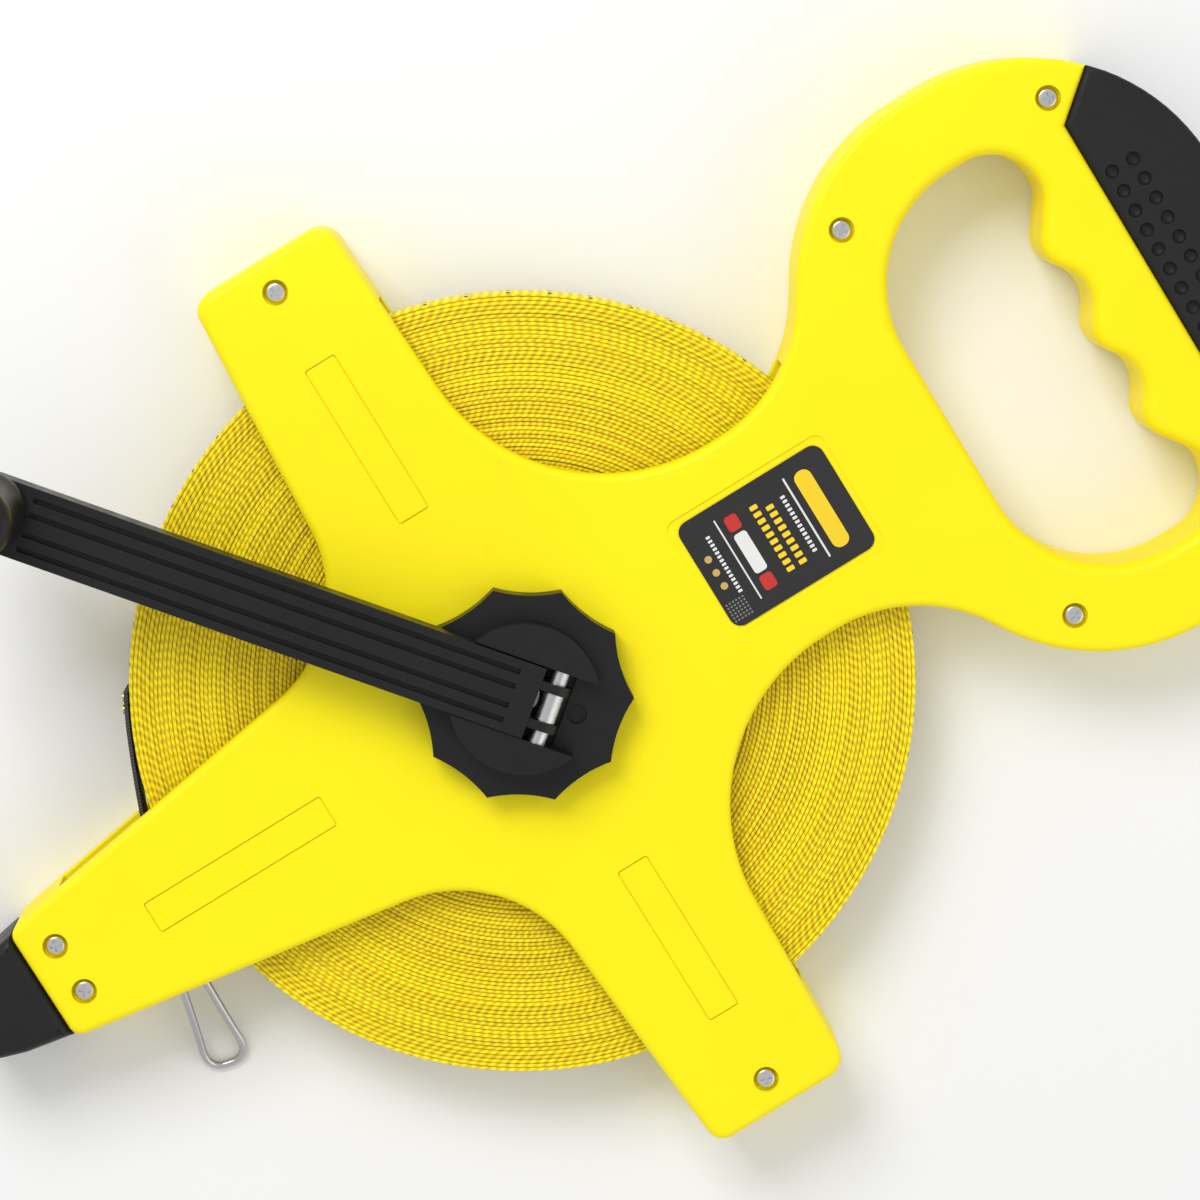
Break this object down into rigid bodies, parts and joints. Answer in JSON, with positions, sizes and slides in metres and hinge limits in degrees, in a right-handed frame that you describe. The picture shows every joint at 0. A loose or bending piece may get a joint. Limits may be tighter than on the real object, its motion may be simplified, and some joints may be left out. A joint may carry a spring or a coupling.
{
  "type": "surveyor tape reel",
  "caption": "Open-frame surveyor's tape reel with a yellow handled frame, a wound measuring tape, a folding winding crank and a wire pull ring.",
  "frame": {"origin": "on the drum's axis, on the back face that the reel lies on", "axes": "+X from the drum to the handle, -X to the nose, +Z along the drum's axis to the side with the crank"},
  "size_m": [0.3668, 0.24, 0.0752],
  "materials": {
    "frame_yellow": "satin moulded plastic",
    "black_plastic": "fine moulded texture",
    "drum_plastic": "moulded",
    "grip_rubber": "soft matte with dimples",
    "label_print": "printed film",
    "screw_steel": "bright plated",
    "spindle_steel": "turned",
    "ring_wire": "drawn wire",
    "brass_trim": "polished",
    "bush_nylon": "natural nylon",
    "tape_yellow": "edges of a woven and coated tape",
    "leader_strap": "coated webbing"
  },
  "bodies": {
    "frame": {"front_shell": "frame_yellow", "rear_shell": "frame_yellow", "handle_grip": "grip_rubber", "nose_tip": "black_plastic", "label_plate": "label_print", "handle_screws": "screw_steel", "side_arm_screws": "screw_steel", "nose_screws": "screw_steel", "front_bush": "bush_nylon", "rear_bush": "bush_nylon", "rear_cap": "black_plastic", "tape_leader": "leader_strap", "leader_eyelet": "brass_trim", "leader_rivets": "brass_trim"},
    "drum": {"drum_core": "drum_plastic", "drum_flange": "drum_plastic", "flange_screws": "screw_steel", "tape_anchor_pin": "screw_steel", "tape_coil": "tape_yellow", "spindle": "spindle_steel", "front_washer": "spindle_steel", "rear_washer": "spindle_steel", "crank_hub": "black_plastic", "hub_screw": "screw_steel", "hinge_pin": "spindle_steel", "hinge_sleeve": "spindle_steel"},
    "crank": {"crank_arm": "black_plastic", "knob_stud": "spindle_steel", "knob_washer": "spindle_steel"},
    "knob": {"crank_knob": "black_plastic", "knob_cap": "black_plastic"},
    "ring": {"pull_ring": "ring_wire"}
  },
  "joints": [
    {"name": "drum_spin", "type": "hinge", "parent": "frame", "child": "drum", "pos_m": [0, 0, 0.014], "axis": [0, 0, 1], "continuous": true},
    {"name": "crank_fold", "type": "hinge", "parent": "drum", "child": "crank", "pos_m": [0.00387, -0.00485, 0.04], "axis": [0.7815, 0.6239, 0], "range_deg": [0, 180]},
    {"name": "knob_spin", "type": "hinge", "parent": "crank", "child": "knob", "pos_m": [-0.0836, 0.10472, 0.045], "axis": [0, 0, 1], "continuous": true},
    {"name": "ring_swing", "type": "hinge", "parent": "frame", "child": "ring", "pos_m": [-0.1066, -0.0157, 0.014], "axis": [-0.9799, 0.1994, 0], "range_deg": [0, 48]}
  ]
}
